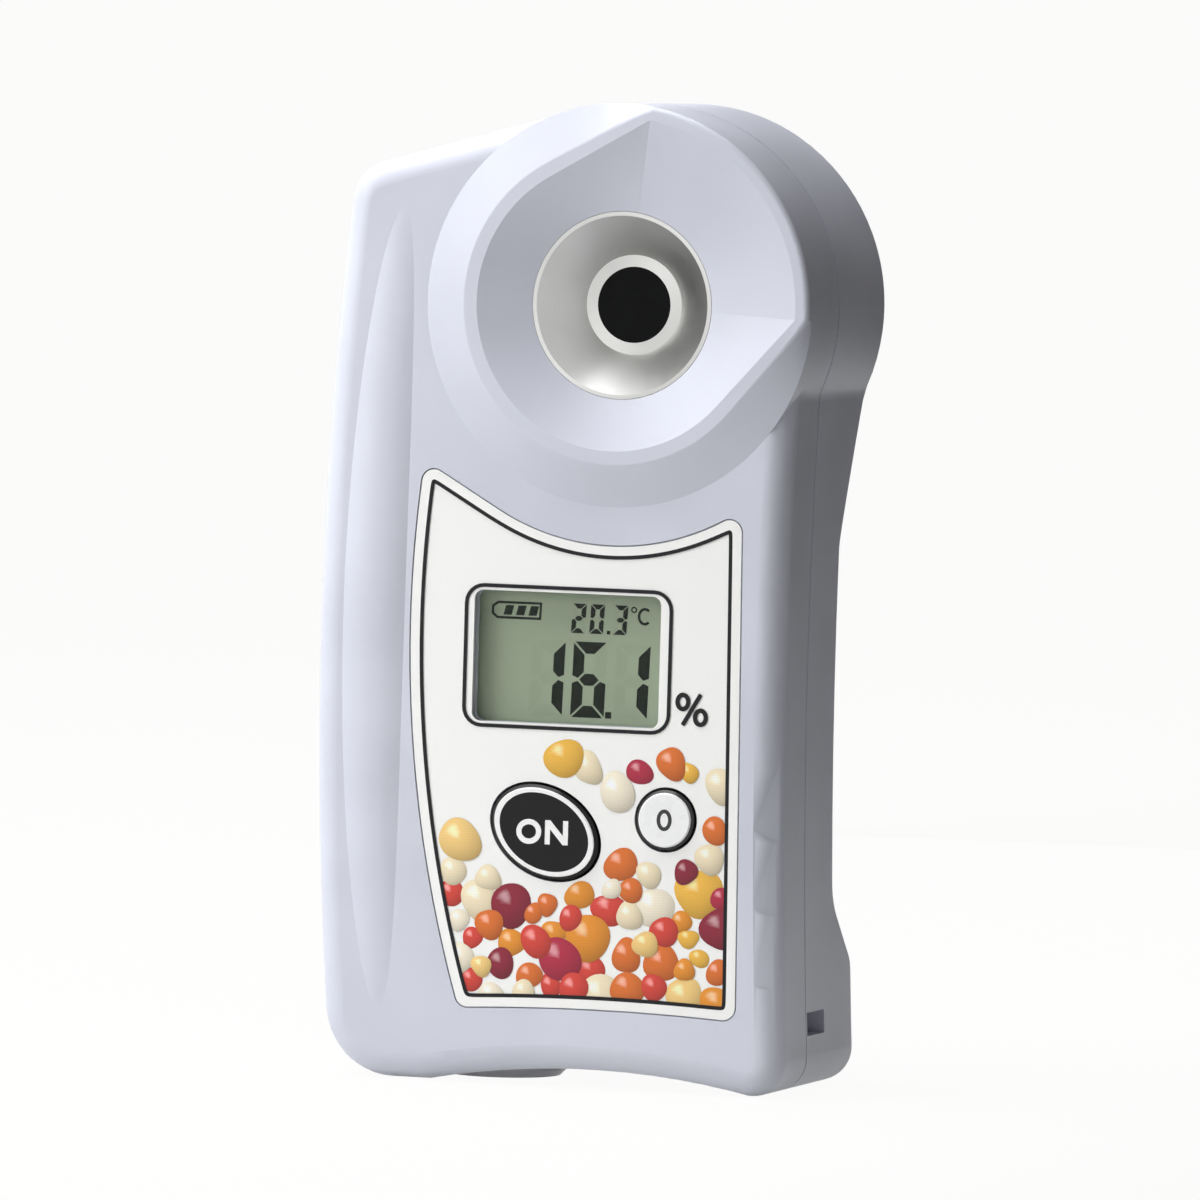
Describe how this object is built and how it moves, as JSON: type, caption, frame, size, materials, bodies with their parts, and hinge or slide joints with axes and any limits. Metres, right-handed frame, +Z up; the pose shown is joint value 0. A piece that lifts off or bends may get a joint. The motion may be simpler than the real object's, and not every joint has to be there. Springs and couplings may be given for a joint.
{
  "type": "digital refractometer",
  "caption": "Pocket digital refractometer that stands on its foot, with a steel sample stage in a leaf-shaped dish, a display, keys and a battery cap.",
  "frame": {"origin": "centre of the bounding box at its bottom, on the surface that the instrument stands on", "axes": "+Z up through the foot and the head, +X to the right seen from the label, +Y from the label to the back"},
  "size_m": [0.0566, 0.031, 0.1085],
  "materials": {
    "case_white": "fine satin moulded ABS",
    "gasket": "matt silicone rubber",
    "screw_steel": "plated steel",
    "stage_steel": "turned and satin polished stainless steel",
    "prism_glass": "polished glass, black from outside",
    "black_plastic": "moulded black plastic",
    "board": "green solder mask",
    "led": "clear amber epoxy",
    "lens_glass": "polished clear glass",
    "chip": "black moulding compound",
    "flex": "amber polyimide film",
    "bead": "epoxy coated bead",
    "film": "printed polycarbonate film",
    "window": "clear acrylic",
    "lcd": "grey-green liquid crystal display",
    "reflector": "satin reflector film",
    "zebra": "layered silicone rubber",
    "start_black": "glossy black plastic",
    "key_white": "satin white plastic",
    "tube_plastic": "moulded grey plastic",
    "cell_wrap": "shrink wrapped battery cell",
    "contact": "nickel plated spring steel",
    "cap_white": "fine satin moulded ABS"
  },
  "bodies": {
    "case": {"front_case": "case_white", "rear_case": "case_white", "case_seal": "gasket", "case_screws": "screw_steel", "sample_stage": "stage_steel", "stage_seal": "gasket", "stage_nut": "screw_steel", "prism": "prism_glass", "prism_seal": "gasket", "optics_block": "black_plastic", "optics_screws": "screw_steel", "lamp_board": "board", "lamp_led": "led", "focusing_lens": "lens_glass", "lens_ring": "black_plastic", "sensor_board": "board", "image_sensor": "chip", "sensor_flex": "flex", "temperature_sensor": "bead", "overlay_film": "film", "display_window": "window", "window_seal": "gasket", "lcd_glass": "lcd", "lcd_reflector": "reflector", "lcd_frame": "black_plastic", "zebra_strips": "zebra", "start_switch": "chip", "zero_switch": "chip", "main_board": "board", "board_screws": "screw_steel", "board_chips": "chip", "board_capacitors": "chip", "battery_tube": "tube_plastic", "battery_lower": "cell_wrap", "battery_upper": "cell_wrap", "top_contact": "contact", "contact_strip": "contact"},
    "start_key": {"start_key": "start_black", "start_plunger": "black_plastic"},
    "zero_key": {"zero_key": "key_white", "zero_plunger": "black_plastic"},
    "cap_ring": {"cap_seal": "gasket"},
    "battery_cap": {"battery_cap": "cap_white", "cap_contact": "contact"}
  },
  "joints": [
    {"name": "start_key_press", "type": "slide", "parent": "case", "child": "start_key", "axis": [0, 1, 0], "range_m": [0, 0.0005], "stiffness_N_per_m": 800, "springref_m": -0.0004},
    {"name": "zero_key_press", "type": "slide", "parent": "case", "child": "zero_key", "axis": [0, 1, 0], "range_m": [0, 0.0005], "stiffness_N_per_m": 800, "springref_m": -0.0004},
    {"name": "cap_travel", "type": "slide", "parent": "case", "child": "cap_ring", "axis": [0, 0, -1], "range_m": [0, 0.0045]},
    {"name": "cap_turn", "type": "hinge", "parent": "cap_ring", "child": "battery_cap", "pos_m": [-0.0093, -0.0009, 0], "axis": [0, 0, -1], "range_deg": [0, 1080]}
  ],
  "couplings": [
    {"joint": "cap_turn", "follows": "cap_travel", "rad_per_m": 4188.8}
  ]
}
